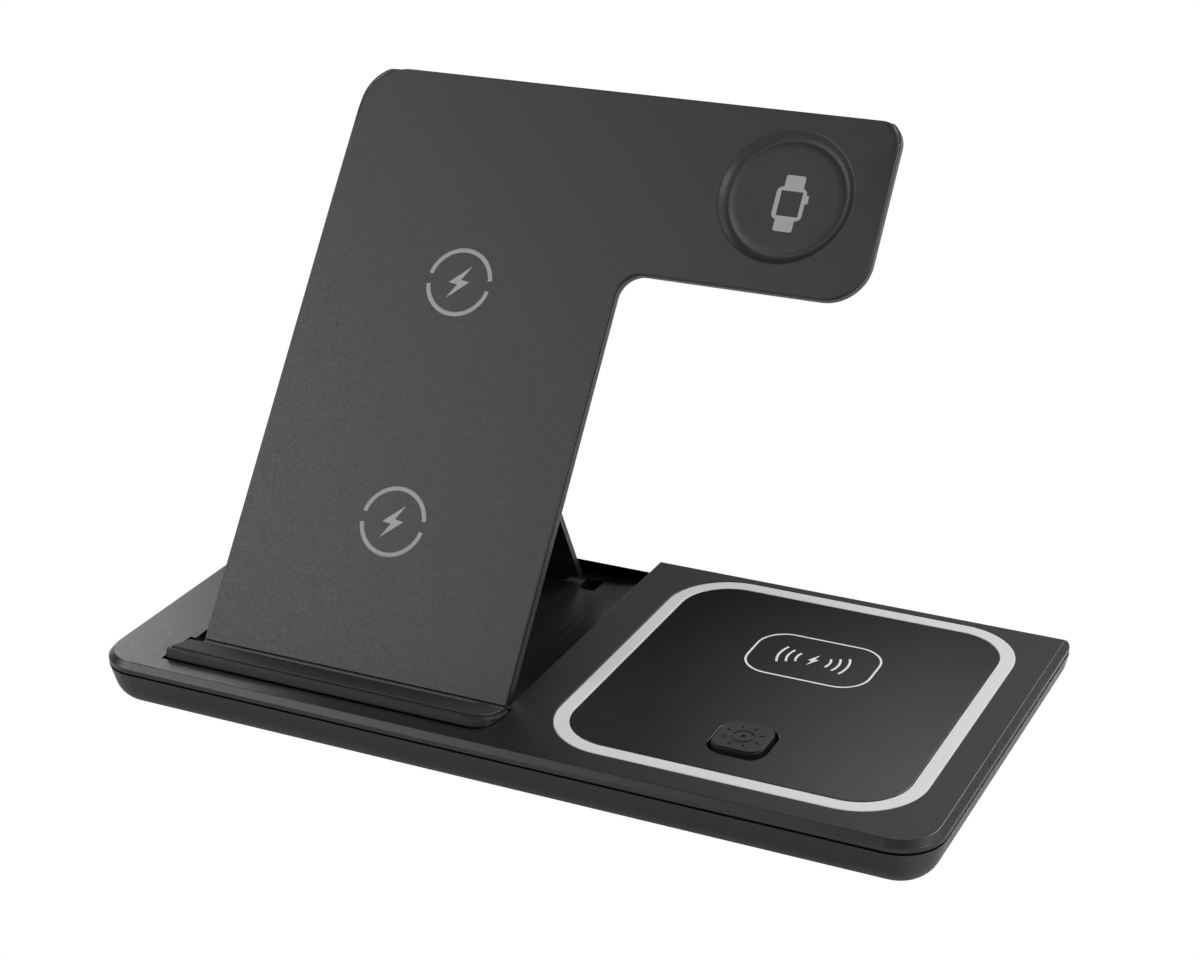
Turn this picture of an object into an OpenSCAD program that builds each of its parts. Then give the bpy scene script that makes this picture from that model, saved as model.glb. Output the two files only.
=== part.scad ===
// Three-in-one charging stand: a low base with an earbud pad, a lit ring and a light button,
// and an L-shaped phone and watch panel that leans back on a support leg and folds into the base.
// Millimetres, +Z up. The origin is under the middle of the whole stand, on the surface it rests on.
// Inside the modules x is measured from the middle of the base, y from the middle of its depth.

/* [Base] */
// Width of the base
base_w = 180; // [176:1:200]
// Depth of the base
base_d = 89; // [87:0.5:100]
// Height of the base without its feet
base_h = 11; // [10.6:0.1:12.5]
// Wall thickness of the base covers
wall = 1.6; // [1.4:0.1:1.8]
// Plan radius of the two front corners
front_corner_r = 9; // [8.6:0.1:12]
// Plan radius of the two rear corners
rear_corner_r = 1.5; // [1:0.1:2.5]
// Height of the top cover's outer edge
skirt_h = 2.15; // [2:0.05:2.6]
// Chamfer round the top face
top_chamfer = 1.2; // [0.8:0.05:1.4]
// Small chamfer along the rear top edge
rear_chamfer = 0.7; // [0.3:0.05:0.8]
// Shadow gap between the two covers
seam_gap = 0.45; // [0.3:0.05:0.6]
// Inward lean of the lower cover's sides, in degrees
side_draft = 15; // [8:1:18]
// Radius where the sides turn under
side_round = 6; // [5:0.1:6.3]

/* [Feet and screws] */
// Height of the rubber feet below the base
foot_h = 0.8; // [0.6:0.1:1.4]
// Radius of a rubber foot
foot_r = 6; // [4:0.5:7]
// Depth of a foot's seat in the lower cover
foot_seat = 0.6; // [0.4:0.1:0.8]
// Radius of a case screw's shank
screw_r = 0.95; // [0.8:0.05:1.1]
// Radius of a case screw's head
screw_head_r = 1.9; // [1.6:0.1:2.1]
// Radius of a screw post
post_r = 2.3; // [2:0.1:2.6]

/* [Recess for the panel] */
// Width of the strip left of the recess
left_strip_w = 15.2; // [15:0.1:18]
// Width of the recess
recess_w = 72.7; // [72.2:0.1:73]
// Depth of the recess below the top face
recess_depth = 5.8; // [5.5:0.1:6]
// Radius of the cove that rises towards the pad side
cove_r = 44; // [40:1:60]
// Width of the cove
cove_w = 12.9; // [10:0.1:13.2]
// Distance between the outer ends of the two side holes in the recess floor
slot_w = 47.8; // [46:0.1:52]
// Front to back size of a side hole
slot_d = 5.6; // [5.2:0.1:6]
// Width of a side hole
side_hole_w = 4.2; // [3.5:0.1:4.6]
// Front to back size of the foot slot between the side holes
foot_slot_d = 2.8; // [2.6:0.1:3.4]
// Distance of the foot slot from the rear face
slot_rear = 3.5; // [3:0.1:4]
// Depth of the foot slot and the side holes
slot_depth = 2; // [1.8:0.1:2.1]
// Depth of the relief that lets the leg's foot out to the rear
relief_depth = 1.4; // [1.3:0.1:1.6]

/* [Light ring and pad] */
// Distance of the ring from the recess
ring_left = 9.1; // [8.5:0.1:11]
// Distance of the ring from the front of the base
ring_front = 6.9; // [6.5:0.1:8.5]
// Outer corner radius of the light ring
ring_r = 14; // [12:0.5:16]
// Width of the visible band of the light ring
ring_band = 3.2; // [2.6:0.1:3.6]
// Height of the light ring
ring_h = 2.4; // [2.2:0.1:2.6]
// Distance of the ring from the right side of the base
ring_right = 7.4; // [7:0.1:9]
// Distance of the ring from the rear of the base
ring_rear = 2.7; // [2.5:0.1:5]
// Thickness of the glossy pad
pad_t = 1.3; // [1.1:0.1:1.4]
// Number of lamps along each side of the ring
lamps_side = 4; // [2:1:5]
// Size of a lamp
lamp_s = 1.4; // [1:0.1:1.6]

/* [Light button] */
// Side of the button
button_w = 11.6; // [10:0.1:12]
// Corner radius of the button
button_r = 3; // [2:0.1:4]
// How far the button stands above the pad
button_rise = 1; // [0.6:0.1:1.4]
// Travel of the button
button_travel = 0.4; // [0.3:0.05:0.5]
// Distance from the ring's front edge to the button's middle
button_front = 15.8; // [15:0.1:18]
// Gap round the button
button_gap = 0.2; // [0.15:0.05:0.3]

/* [Ledge] */
// Width of the ledge that the phone stands on
ledge_w = 74.7; // [74:0.1:75]
// Length of the ledge from its pin to its front
ledge_len = 8.9; // [8:0.1:9.2]
// Thickness of the ledge
ledge_t = 2.2; // [2:0.1:2.3]
// Height of the ledge's top above its pin
ledge_top = 1.3; // [1.2:0.05:1.35]
// Tilt of the raised ledge, in degrees
ledge_tilt = 14; // [10:1:15]
// Radius of the ledge's pin
ledge_pin_r = 0.5; // [0.4:0.05:0.6]
// Thickness of the ledge's pad
ledge_pad_t = 1; // [0.8:0.1:1.1]
// Plan radius of the ledge's front right corner
ledge_corner = 5; // [3:0.5:6]

/* [Panel] */
// Lean of the panel above the horizontal, in degrees
lean = 53.1; // [50:0.5:56]
// Thickness of the panel
panel_t = 4.6; // [4.6:0.1:4.7]
// Width of the leg of the L
panel_w = 70.3; // [69.5:0.1:70.6]
// Length of the panel from its hinge to its top
panel_len = 130.4; // [129:0.1:140]
// Thickness of the front cover
front_t = 1.1; // [1:0.05:1.15]
// Thickness of the front cover's thin rim
front_rim_t = 0.6; // [0.5:0.05:0.7]
// Shadow gap between front and back cover
panel_seam = 0.35; // [0.25:0.05:0.4]
// Wall thickness of the back cover
back_wall = 1.1; // [1:0.05:1.2]
// Radius of the back cover's edge
back_r = 2.4; // [2:0.1:2.4]
// Radius along the top of the front cover
top_round = 2.1; // [1.5:0.1:2.1]
// Plan radius of the top left corner
corner_tl = 9; // [7:0.5:10]
// Plan radius of the top right corner
corner_tr = 5.3; // [5.3:0.1:5.4]
// Radius of the panel's hinge pin
hinge_pin_r = 1; // [0.8:0.05:1.1]

/* [Watch arm] */
// How far the arm reaches past the leg
arm_reach = 51.5; // [46:0.5:60]
// Height of the arm
arm_h = 38.8; // [37.5:0.1:42]
// Radius of the arm's lower right corner
corner_br = 9; // [7:0.5:11]
// Radius of the inner corner of the L
corner_in = 5; // [3.5:0.5:7]
// Radius of the watch dish
dish_r = 14.2; // [13:0.1:15]
// Distance from the dish's rim in to the middle of its groove
dish_groove = 2; // [1.8:0.1:2.2]
// Depth of the groove
dish_depth = 1.8; // [1.6:0.05:1.85]
// Radius of the groove's round bottom
groove_arc = 0.8; // [0.6:0.05:0.9]
// Radius of the flat part of the disc in the dish
disc_r = 10.5; // [10:0.1:10.7]
// Rounding of the disc's edge
disc_edge = 1.3; // [1:0.05:1.4]
// Depth of the disc's edge below the panel's face
disc_depth = 0.95; // [0.85:0.05:1]
// Rise of the disc's middle above its edge
disc_rise = 0.25; // [0.15:0.05:0.3]
// Distance of the dish's middle from the arm's end
dish_end = 20.7; // [19.5:0.1:22]
// Distance of the dish's middle from the panel's top
dish_top = 18.8; // [18:0.1:20]

/* [Support leg] */
// Distance from the panel's hinge to the leg's hinge
leg_at = 63; // [62:0.1:63.5]
// Width of the leg
leg_w = 38; // [35:0.1:38.4]
// Thickness of the leg
leg_t = 1.6; // [1.5:0.05:1.65]
// Depth of the leg's tip below the recess floor
foot_dip = 0.8; // [0.5:0.1:0.9]
// Length of the narrower tongue at the leg's tip
tongue_len = 1.4; // [1.3:0.1:2]
// How far the tongue is set in from each side of the leg
tongue_in = 3.6; // [2:0.1:4]
// Radius of the leg's hinge barrel
leg_barrel_r = 1; // [0.9:0.05:1.05]
// Radius of the leg's pin
leg_pin_r = 0.5; // [0.4:0.05:0.55]
// Clearance round the folded leg
leg_gap = 0.3; // [0.25:0.05:0.4]

/* [Charging parts] */
// Outer radius of a phone coil
phone_coil_r = 21; // [18:0.5:21.5]
// Outer radius of the earbud coil
earbud_coil_r = 19.5; // [16:0.5:20]
// Outer radius of the watch coil
watch_coil_r = 10.5; // [9:0.1:10.6]
// Inner radius of the phone and earbud coils
coil_hole_r = 9; // [7:0.5:10]
// Spacing of a coil's turns
turn_pitch = 1.15; // [1:0.05:1.5]
// Distance of the lower phone coil from the hinge
coil_low = 32.3; // [30:0.1:34]
// Distance of the upper phone coil from the hinge
coil_high = 84.5; // [83:0.1:86]
// Thickness of the circuit boards
board_t = 1; // [0.8:0.1:1.1]

/* [Fits] */
// Radial clearance round a turning pin
pin_fit = 0.05; // [0.03:0.01:0.08]
// Clearance between panel and recess, ring and groove, pad and ring
panel_side_gap = 1.2; // [1:0.05:1.4]
// Clearance round trim that is pressed or glued in
trim_gap = 0.1; // [0.05:0.01:0.15]

/* [Hidden] */
$fn = 64;
eps = 0.02;

// Heights of the base
top_z = foot_h + base_h;
skirt_z = top_z - skirt_h;
rim_z = skirt_z - seam_gap;
under_top_z = top_z - wall;
inner_floor_z = foot_h + wall;
floor_z = top_z - recess_depth;
rear_y = base_d / 2;
half_w = base_w / 2;

// Plan of the recess and of the pocket that the ledge folds into
recess_x0 = left_strip_w - half_w;
recess_x1 = recess_x0 + recess_w;
panel_mid = (recess_x0 + recess_x1) / 2 + 0.15;
ledge_gap = 0.3;
pocket_x0 = panel_mid - 0.25 - ledge_w / 2 - ledge_gap;
pocket_x1 = pocket_x0 + ledge_w + 2 * ledge_gap;

// The panel turns on an axis halfway through its thickness and lies flush in the recess
half_t = panel_t / 2;
hinge_z = top_z - half_t;
hinge_y = 18.22 - rear_y;
cove_y0 = hinge_y + half_t + 0.8;
ledge_axis_y = hinge_y - half_t - ledge_top - 0.12;
ledge_axis_z = top_z - ledge_top;
pocket_y0 = ledge_axis_y - ledge_len - 0.27;
pocket_y1 = hinge_y - half_t - 0.2;
pocket_floor_z = ledge_axis_z - (ledge_t - ledge_top) - 0.4;
panel_x0 = panel_mid - panel_w / 2;
panel_x1 = panel_mid + panel_w / 2;
arm_x1 = panel_x1 + arm_reach;
arm_y0 = panel_len - arm_h;
front_in = half_t - front_t;

// The support leg: its hinge lies flush in the back of the panel, its tip stands in the foot slot
leg_axis_w = leg_t / 2 - half_t;
leg_axis_y = hinge_y + leg_at * cos(lean) - leg_axis_w * sin(lean);
leg_axis_z = hinge_z + leg_at * sin(lean) + leg_axis_w * cos(lean);
slot_y1 = rear_y - slot_rear;
slot_y0 = slot_y1 - slot_d;
leg_tip_y = slot_y1 - leg_t / 2 - 0.6;
leg_tip_z = floor_z - foot_dip + leg_t / 2;
leg_run = leg_tip_y - leg_axis_y;
leg_drop = leg_axis_z - leg_tip_z;
leg_len = sqrt(leg_run * leg_run + leg_drop * leg_drop);
leg_slope = atan2(leg_drop, leg_run);
barrel_w = 0.72 * leg_w;
niche_w = leg_w + 2 * leg_gap;
niche_s0 = leg_at - leg_barrel_r - leg_gap;
niche_s1 = leg_at + leg_len + leg_t / 2 + leg_gap;
niche_floor = leg_axis_w + leg_barrel_r + 0.1;
niche_skin = 0.5;
tongue_w = leg_w - 2 * tongue_in;
tongue_gap = 0.4;

// Ring, pad and button
ring_x1 = half_w - ring_right;
ring_x0 = recess_x1 + ring_left;
ring_w = ring_x1 - ring_x0;
ring_y1 = rear_y - ring_rear;
ring_y0 = ring_front - rear_y;
ring_d = ring_y1 - ring_y0;
ring_mid = (ring_x0 + ring_x1) / 2;
groove_z = top_z - ring_h;
channel_t = 1;
pad_seat_z = top_z - pad_t;
pad_bed_t = 1.2;
bed_z = pad_seat_z - pad_bed_t;
button_y = ring_y0 + button_front;
flange_t = 0.8;
flange_w = button_w + 1.8;
flange_z = bed_z - 0.1 - flange_t;
button_stem_z = flange_z - 1.1;

// Boards and coils in the base
board_z = inner_floor_z + 0.6;
board_top_z = board_z + board_t;
coil_t = 0.8;
shield_t = 0.6;
earbud_at = 0.642;
earbud_y = ring_y0 + earbud_at * ring_d;
usb_w = 8.94;
usb_h = 3.2;
usb_len = 7.4;
usb_z = board_top_z + usb_h / 2;
usb_in = 0.3;

// Places of the screws and feet
post_left_x = 9 - half_w;
post_pad_z = inner_floor_z + 1;
case_post_r = post_r + 0.9;
pad_posts = [for (dx = [-1, 1]) for (py = [ring_y0 + 16, ring_y1 - 16])
  [ring_mid + dx * (ring_w / 2 - 10.1), py]];
left_posts = [[post_left_x, 11.5 - rear_y], [post_left_x, rear_y - 8.5]];
base_posts = concat(pad_posts, left_posts);
feet_at = [for (dx = [-1, 1]) for (fy = [14.5 - rear_y, rear_y - 9.5])
  [dx * (half_w - 20), fy]];
panel_posts = [
  [panel_x0 + 4.4, 10], [panel_x1 - 4.4, 10],
  [panel_x0 + 4.4, leg_at - 1], [panel_x1 - 4.4, leg_at - 1],
  [panel_x0 + 6.4, panel_len - 7.4], [panel_x1 - 4.4, panel_len - 7.4],
  [panel_x1 + 11, arm_y0 + 5.4], [arm_x1 - 5, panel_len - 5.4]
];
panel_post_r = 2;
panel_screw_r = 0.7;
panel_head_r = 1.5;
panel_post_w = -0.6;
phone_coil_t = 0.6;
phone_shield_t = 0.4;
dish_x = arm_x1 - dish_end;
dish_s = panel_len - dish_top;
cup_w = -0.2;
watch_coil_w = 0;
watch_coil_t = 0.7;
watch_shield_t = 0.4;

// The whole stand is centred on the origin in Y, from the base's front to the panel's top
reach_y = hinge_y + (panel_len - back_r) * cos(lean) + (half_t - back_r) * sin(lean) + back_r;
mid_y = (reach_y - rear_y) / 2;

module place() {
  translate([0, -mid_y, 0]) children();
}

// Carries the panel's own frame: x as in the base, y up along the panel, z out of its front face
module on_panel() {
  place() translate([0, hinge_y, hinge_z]) rotate([lean, 0, 0]) children();
}

// Rectangle with a radius of its own at each corner, in the order front left, front right,
// rear right, rear left
module round_rect(x0, x1, y0, y1, r) {
  polygon([
    [x0 + r[0], y0], [x1 - r[1], y0], [x1, y0 + r[1]], [x1, y1 - r[2]],
    [x1 - r[2], y1], [x0 + r[3], y1], [x0, y1 - r[3]], [x0, y0 + r[0]]
  ]);
  if (r[0] > 0) translate([x0 + r[0], y0 + r[0]]) circle(r[0]);
  if (r[1] > 0) translate([x1 - r[1], y0 + r[1]]) circle(r[1]);
  if (r[2] > 0) translate([x1 - r[2], y1 - r[2]]) circle(r[2]);
  if (r[3] > 0) translate([x0 + r[3], y1 - r[3]]) circle(r[3]);
}

module even_rect(x0, x1, y0, y1, r) {
  round_rect(x0, x1, y0, y1, [r, r, r, r]);
}

module slab(z0, z1) {
  translate([0, 0, z0]) linear_extrude(z1 - z0) children();
}

module rod(r, x0, x1) {
  translate([x0, 0, 0]) rotate([0, 90, 0]) cylinder(r = r, h = x1 - x0);
}

// Sweeps a wall section round the front and the sides of the base. The section is drawn with its
// distance in from the outer edge as x and its height as y, and reaches in to the corner radius.
module swept(z0, z1, back) {
  x_in = half_w - front_corner_r;
  y_in = rear_y - front_corner_r;
  translate([-x_in, -rear_y, 0]) rotate([90, 0, 90]) linear_extrude(2 * x_in) children(0);
  for (side = [0, 1]) mirror([side, 0, 0]) {
    translate([-half_w, back, 0]) rotate([90, 0, 0]) linear_extrude(back + y_in) children(0);
    translate([-x_in, -y_in, 0]) rotate([0, 0, 180]) rotate_extrude(angle = 90)
      translate([front_corner_r, 0]) mirror([1, 0]) children(0);
  }
  translate([-x_in, -y_in, z0]) cube([2 * x_in, y_in + back, z1 - z0]);
}

// Section of the lower cover, set in by t: a leaning side that turns under on a radius
module lower_section(t) {
  cz = foot_h + side_round;
  cu = (rim_z - cz + side_round * sin(side_draft)) * tan(side_draft) + side_round * cos(side_draft);
  r = side_round - t;
  intersection() {
    union() {
      polygon([
        [t / cos(side_draft), rim_z], [cu - r * cos(side_draft), cz - r * sin(side_draft)],
        [cu, cz], [cu, foot_h + t], [front_corner_r, foot_h + t], [front_corner_r, rim_z]
      ]);
      translate([cu, cz]) circle(r);
    }
    square([front_corner_r, rim_z]);
  }
}

module upper_section() {
  polygon([
    [0, skirt_z], [0, top_z - top_chamfer], [top_chamfer, top_z],
    [front_corner_r, top_z], [front_corner_r, skirt_z]
  ]);
}

module plain_section(inset, z0, z1) {
  translate([inset, z0]) square([front_corner_r - inset, z1 - z0]);
}

module rear_corner_cut() {
  for (side = [0, 1]) mirror([side, 0, 0])
    translate([half_w - rear_corner_r, rear_y - rear_corner_r, 0]) slab(0, top_z + 1)
      difference() {
        square(rear_corner_r + 1);
        circle(rear_corner_r);
      }
}

// The deep part of the recess, open to the rear
module recess_box(grow, z0, z1) {
  translate([recess_x0 - grow, pocket_y1 - grow, z0])
    cube([recess_w + 2 * grow, rear_y - pocket_y1 + grow + 1, z1 - z0]);
}

module pocket_box(grow, z0, z1) {
  slab(z0, z1) round_rect(pocket_x0 - grow, pocket_x1 + grow, pocket_y0 - grow, pocket_y1 + eps,
    [0, ledge_corner + ledge_gap + grow, 0, 0]);
}

module slot_block(grow, z0, z1) {
  translate([panel_mid - slot_w / 2 - grow, slot_y0 - grow, z0])
    cube([slot_w + 2 * grow, rear_y - slot_y0 + grow, z1 - z0]);
}

module ring_plan(grow_out, grow_in) {
  difference() {
    even_rect(ring_x0 - grow_out, ring_x1 + grow_out, ring_y0 - grow_out, ring_y1 + grow_out,
      ring_r + grow_out);
    inner_plan(-grow_in);
  }
}

module inner_plan(grow) {
  b = ring_band - grow;
  even_rect(ring_x0 + b, ring_x1 - b, ring_y0 + b, ring_y1 - b, ring_r - b);
}

// Places its children on the lamps, spread evenly along the straight sides of the ring
module lamp_places() {
  run_x = ring_w - 2 * ring_r;
  run_y = ring_d - 2 * ring_r;
  off = ring_band / 2;
  for (i = [0 : lamps_side - 1]) {
    f = (i + 0.5) / lamps_side - 0.5;
    for (side = [-1, 1]) {
      translate([ring_mid + f * run_x, (ring_y0 + ring_y1) / 2 + side * (ring_d / 2 - off), 0])
        children();
      translate([ring_mid + side * (ring_w / 2 - off), (ring_y0 + ring_y1) / 2 + f * run_y, 0])
        children();
    }
  }
}

module button_plan(grow) {
  h = button_w / 2 + grow;
  even_rect(-h, h, -h, h, button_r + grow);
}

module at_button() {
  translate([ring_mid, button_y, 0]) children();
}

module base_top_cover() {
  boss_len = 3;
  color([0.13, 0.13, 0.14]) place() difference() {
    union() {
      difference() {
        swept(skirt_z, top_z, rear_y) upper_section();
        swept(skirt_z - 1, under_top_z, rear_y - wall) plain_section(wall, skirt_z - 1, under_top_z);
      }
      intersection() {
        union() {
          recess_box(wall, floor_z - wall, top_z - top_chamfer);
          pocket_box(wall, pocket_floor_z - wall, top_z - top_chamfer);
          slot_block(1.2, floor_z - slot_depth - 1, floor_z);
        }
        translate([-half_w, -rear_y, 0]) cube([base_w, base_d, top_z]);
      }
      slab(groove_z - channel_t, under_top_z + eps)
        ring_plan(trim_gap + channel_t, trim_gap + channel_t);
      slab(bed_z, pad_seat_z) inner_plan(-trim_gap);
      for (p = base_posts) translate([p[0], p[1], post_pad_z])
        cylinder(r = post_r, h = bed_z - post_pad_z + 1);
      translate([0, hinge_y, 0]) for (x = [recess_x0 - wall - boss_len, recess_x1 + wall - eps])
        translate([x, -half_t, floor_z]) cube([boss_len + eps, 2 * half_t, under_top_z - floor_z]);
    }
    difference() {
      recess_box(0, floor_z, top_z + 1);
      translate([recess_x1 - cove_w, rear_y + 1, floor_z]) rotate([90, 0, 0])
        linear_extrude(rear_y + 1 - cove_y0) difference() {
          square([cove_w, 3]);
          translate([0, cove_r]) circle(cove_r, $fn = 180);
        }
    }
    pocket_box(0, pocket_floor_z, top_z + 1);
    translate([panel_mid, 0, 0]) for (side = [0, 1]) mirror([side, 0, 0]) {
      translate([slot_w / 2 - side_hole_w, slot_y0, floor_z - slot_depth])
        cube([side_hole_w, slot_d, slot_depth + 1]);
      translate([-eps, slot_y1 - foot_slot_d, floor_z - slot_depth])
        cube([tongue_w / 2 + tongue_gap + eps, foot_slot_d, slot_depth + 1]);
      translate([-eps, slot_y1 - 1, floor_z - relief_depth])
        cube([tongue_w / 2 + tongue_gap - 0.1 + eps, slot_rear + 2, relief_depth + 1]);
    }
    slab(groove_z, top_z + 1) ring_plan(trim_gap, trim_gap);
    slab(pad_seat_z, top_z + 1) inner_plan(eps);
    lamp_places() translate([0, 0, groove_z]) cube([lamp_s + 0.4, lamp_s + 0.4, 4], center = true);
    at_button() slab(0, top_z + 1) button_plan(button_gap);
    translate([0, hinge_y, hinge_z]) rod(hinge_pin_r + 0.02, recess_x0 - wall - 2.6, recess_x1 + wall + 2.6);
    translate([0, ledge_axis_y, ledge_axis_z]) rod(ledge_pin_r + 0.02, pocket_x0 - 3, pocket_x1 + 3);
    for (p = base_posts) translate([p[0], p[1], post_pad_z - 1])
      cylinder(r = screw_r + 0.05, h = 6);
    rear_corner_cut();
    translate([0, rear_y, top_z]) rotate([45, 0, 0])
      cube([base_w + 2, 1.4142 * rear_chamfer, 1.4142 * rear_chamfer], center = true);
  }
}

module base_bottom_cover() {
  lip_z = rim_z - 1.4;
  lip_in = wall + 0.15;
  lip_t = 0.8;
  color([0.12, 0.12, 0.13]) place() difference() {
    union() {
      difference() {
        swept(foot_h, rim_z, rear_y) lower_section(0);
        swept(inner_floor_z, rim_z + 1, rear_y - wall) union() {
          lower_section(wall);
          plain_section(wall / cos(side_draft), rim_z - eps, rim_z + 1);
        }
      }
      difference() {
        swept(lip_z, under_top_z - 0.2, rear_y - lip_in)
          plain_section(lip_in, lip_z, under_top_z - 0.2);
        swept(lip_z - 1, under_top_z, rear_y - lip_in - lip_t)
          plain_section(lip_in + lip_t, lip_z - 1, under_top_z);
      }
      for (p = base_posts) translate([p[0], p[1], foot_h])
        cylinder(r = case_post_r, h = post_pad_z - foot_h);
      for (dx = [-1, 1]) for (dy = [-1, 1])
        translate([ring_mid + dx * 0.32 * ring_w, (ring_y0 + ring_y1) / 2 + dy * 0.15 * ring_d, foot_h])
          cylinder(r = 2, h = board_z - foot_h);
    }
    recess_box(wall + 0.2, floor_z - wall - 0.1, top_z);
    pocket_box(wall + 0.2, pocket_floor_z - wall - 0.1, top_z);
    translate([0, hinge_y, 0]) for (x = [recess_x0 - wall - 3.3, recess_x1 + wall])
      translate([x, -half_t - 0.3, floor_z - 0.3]) cube([3.3, 2 * half_t + 0.6, top_z]);
    slot_block(1.4, floor_z - slot_depth - 1.1, top_z);
    slab(groove_z - channel_t - 0.2, top_z) ring_plan(trim_gap + channel_t + 0.15, 1);
    for (p = base_posts) translate([p[0], p[1], 0]) {
      cylinder(r = screw_head_r + 0.3, h = foot_h + 1.6);
      cylinder(r = screw_r + 0.25, h = 10);
    }
    for (p = feet_at) translate([p[0], p[1], 0]) cylinder(r = foot_r + 0.1, h = foot_h + foot_seat);
    translate([ring_mid, rear_y + 1, usb_z]) rotate([90, 0, 0]) {
      linear_extrude(wall + 2) usb_plan(0.2);
      linear_extrude(1.5) usb_plan(0.7);
    }
    rear_corner_cut();
  }
}

module light_ring() {
  color([0.9, 0.9, 0.88]) place() slab(groove_z, top_z) ring_plan(0, 0);
}

module ring_lamp_board() {
  lift = 0.7;
  color([0.2, 0.32, 0.2]) place() union() {
    slab(groove_z - channel_t - board_t, groove_z - channel_t) ring_plan(0, 1);
    lamp_places() translate([0, 0, groove_z - channel_t + lift / 2 - eps / 2])
      cube([lamp_s, lamp_s, lift + eps], center = true);
  }
}

module pad_face() {
  color([0.03, 0.03, 0.035]) place() difference() {
    slab(pad_seat_z, top_z) inner_plan(-trim_gap);
    at_button() slab(0, top_z + 1) button_plan(button_gap);
  }
}

// Flat spiral coil drawn as one ring of round turns on a thin backing
module coil(r_out, r_in, t) {
  turn_r = t / 2;
  turns = floor((r_out - r_in) / turn_pitch);
  rotate_extrude() {
    translate([r_in, 0]) square([r_out - r_in, turn_r]);
    for (i = [0 : turns - 1]) translate([r_in + (i + 0.5) * turn_pitch, turn_r]) circle(turn_r, $fn = 24);
  }
}

module shield(r, t, thick) {
  linear_extrude(thick) even_rect(-r - t, r + t, -r - t, r + t, 3);
}

module earbud_coil() {
  color([0.75, 0.42, 0.2]) place() translate([ring_mid, earbud_y, bed_z - coil_t])
    coil(earbud_coil_r, coil_hole_r, coil_t);
}

module earbud_coil_shield() {
  color([0.25, 0.25, 0.27]) place() translate([ring_mid, earbud_y, bed_z - coil_t - shield_t])
    shield(earbud_coil_r, 1.2, shield_t);
}

module main_board() {
  color([0.08, 0.25, 0.14]) place() difference() {
    slab(board_z, board_top_z)
      even_rect(ring_x0 + 5, ring_x1 - 5, ring_y0 + 4, rear_y - wall - 0.2, 2);
    for (p = pad_posts) translate([p[0], p[1], 0]) cylinder(r = case_post_r + 0.3, h = top_z);
  }
}

module board_chips() {
  chip_z = board_top_z;
  near_y = ring_y0 + 0.327 * ring_d;
  row_y = ring_y0 + 0.479 * ring_d;
  far_y = ring_y0 + 0.781 * ring_d;
  step_x = 0.18 * ring_w;
  pitch = 0.04 * ring_w;
  color([0.1, 0.1, 0.11]) place() translate([ring_mid, 0, chip_z]) {
    translate([-1.6 * step_x, near_y, 0]) cube([7, 7, 0.9]);
    translate([step_x, near_y, 0]) cube([5, 5, 0.9]);
    for (i = [-1 : 1]) translate([i * step_x - 2.5, far_y, 0]) cube([5, 5, 1.8]);
    for (i = [0 : 5]) translate([-1.9 * step_x + i * pitch, row_y, 0]) cube([1.6, 0.9, 0.8]);
    for (i = [0 : 4]) translate([0.6 * step_x + i * pitch, row_y, 0]) cube([1.6, 0.9, 0.8]);
  }
}

module usb_plan(grow) {
  w = usb_w / 2 + grow;
  h = usb_h / 2 + grow;
  even_rect(-w, w, -h, h, h - 0.3);
}

// Metal shell open to the rear, with the contact tongue inside
module usb_c_socket() {
  shell_t = 0.3;
  color([0.7, 0.7, 0.72]) place() translate([ring_mid, rear_y - usb_in, usb_z]) rotate([90, 0, 0]) {
    difference() {
      linear_extrude(usb_len) usb_plan(0);
      translate([0, 0, -1]) linear_extrude(usb_len) usb_plan(-shell_t);
    }
    translate([-3.3, -0.35, 1]) cube([6.6, 0.7, usb_len - 1.5]);
  }
}

// Raised cap with a sun pressed into it, a flange that holds it in and a stem down to the switch
module light_button() {
  cut = 0.25;
  cap_z = top_z + button_rise;
  color([0.07, 0.07, 0.075]) place() at_button() difference() {
    union() {
      slab(bed_z - 0.5, cap_z - 0.3) button_plan(0);
      slab(cap_z - 0.3 - eps, cap_z) button_plan(-0.3);
      slab(flange_z, flange_z + flange_t) even_rect(-flange_w / 2, flange_w / 2, -flange_w / 2,
        flange_w / 2, button_r + 0.9);
      slab(button_stem_z, flange_z + eps) circle(1.5);
    }
    slab(cap_z - cut, cap_z + 1) {
      difference() {
        circle(2.5);
        circle(2.1);
      }
      circle(0.55);
      for (i = [0 : 7]) rotate(22.5 + 45 * i) translate([3.4, -0.18]) square([1.2, 0.36]);
    }
  }
}

module switch_plunger() {
  color([0.2, 0.2, 0.2]) place() at_button()
    translate([0, 0, button_stem_z - 1.2]) cylinder(r = 1.6, h = 1.2);
}

module button_switch() {
  body_h = button_stem_z - 0.6 - board_top_z;
  color([0.6, 0.6, 0.62]) place() at_button() difference() {
    translate([-3, -3, board_top_z]) cube([6, 6, body_h]);
    translate([0, 0, button_stem_z - 1.2 - button_travel - 0.2]) cylinder(r = 1.8, h = 3);
  }
}

module rubber_feet() {
  color([0.05, 0.05, 0.05]) place() for (p = feet_at) translate([p[0], p[1], 0]) {
    cylinder(r = foot_r - 0.3, h = 0.3 + eps);
    translate([0, 0, 0.3]) cylinder(r = foot_r, h = foot_h + foot_seat - 0.3);
  }
}

module case_screws() {
  head_z = foot_h + 0.5;
  head_h = 1.1;
  color([0.3, 0.3, 0.32]) place() for (p = base_posts) translate([p[0], p[1], head_z]) difference() {
    union() {
      cylinder(r = screw_head_r, h = head_h);
      cylinder(r = screw_r, h = head_h + 5.5);
    }
    for (turn = [0, 90]) rotate(turn) translate([-1.1, -0.2, -1]) cube([2.2, 0.4, 1.6]);
  }
}

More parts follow.
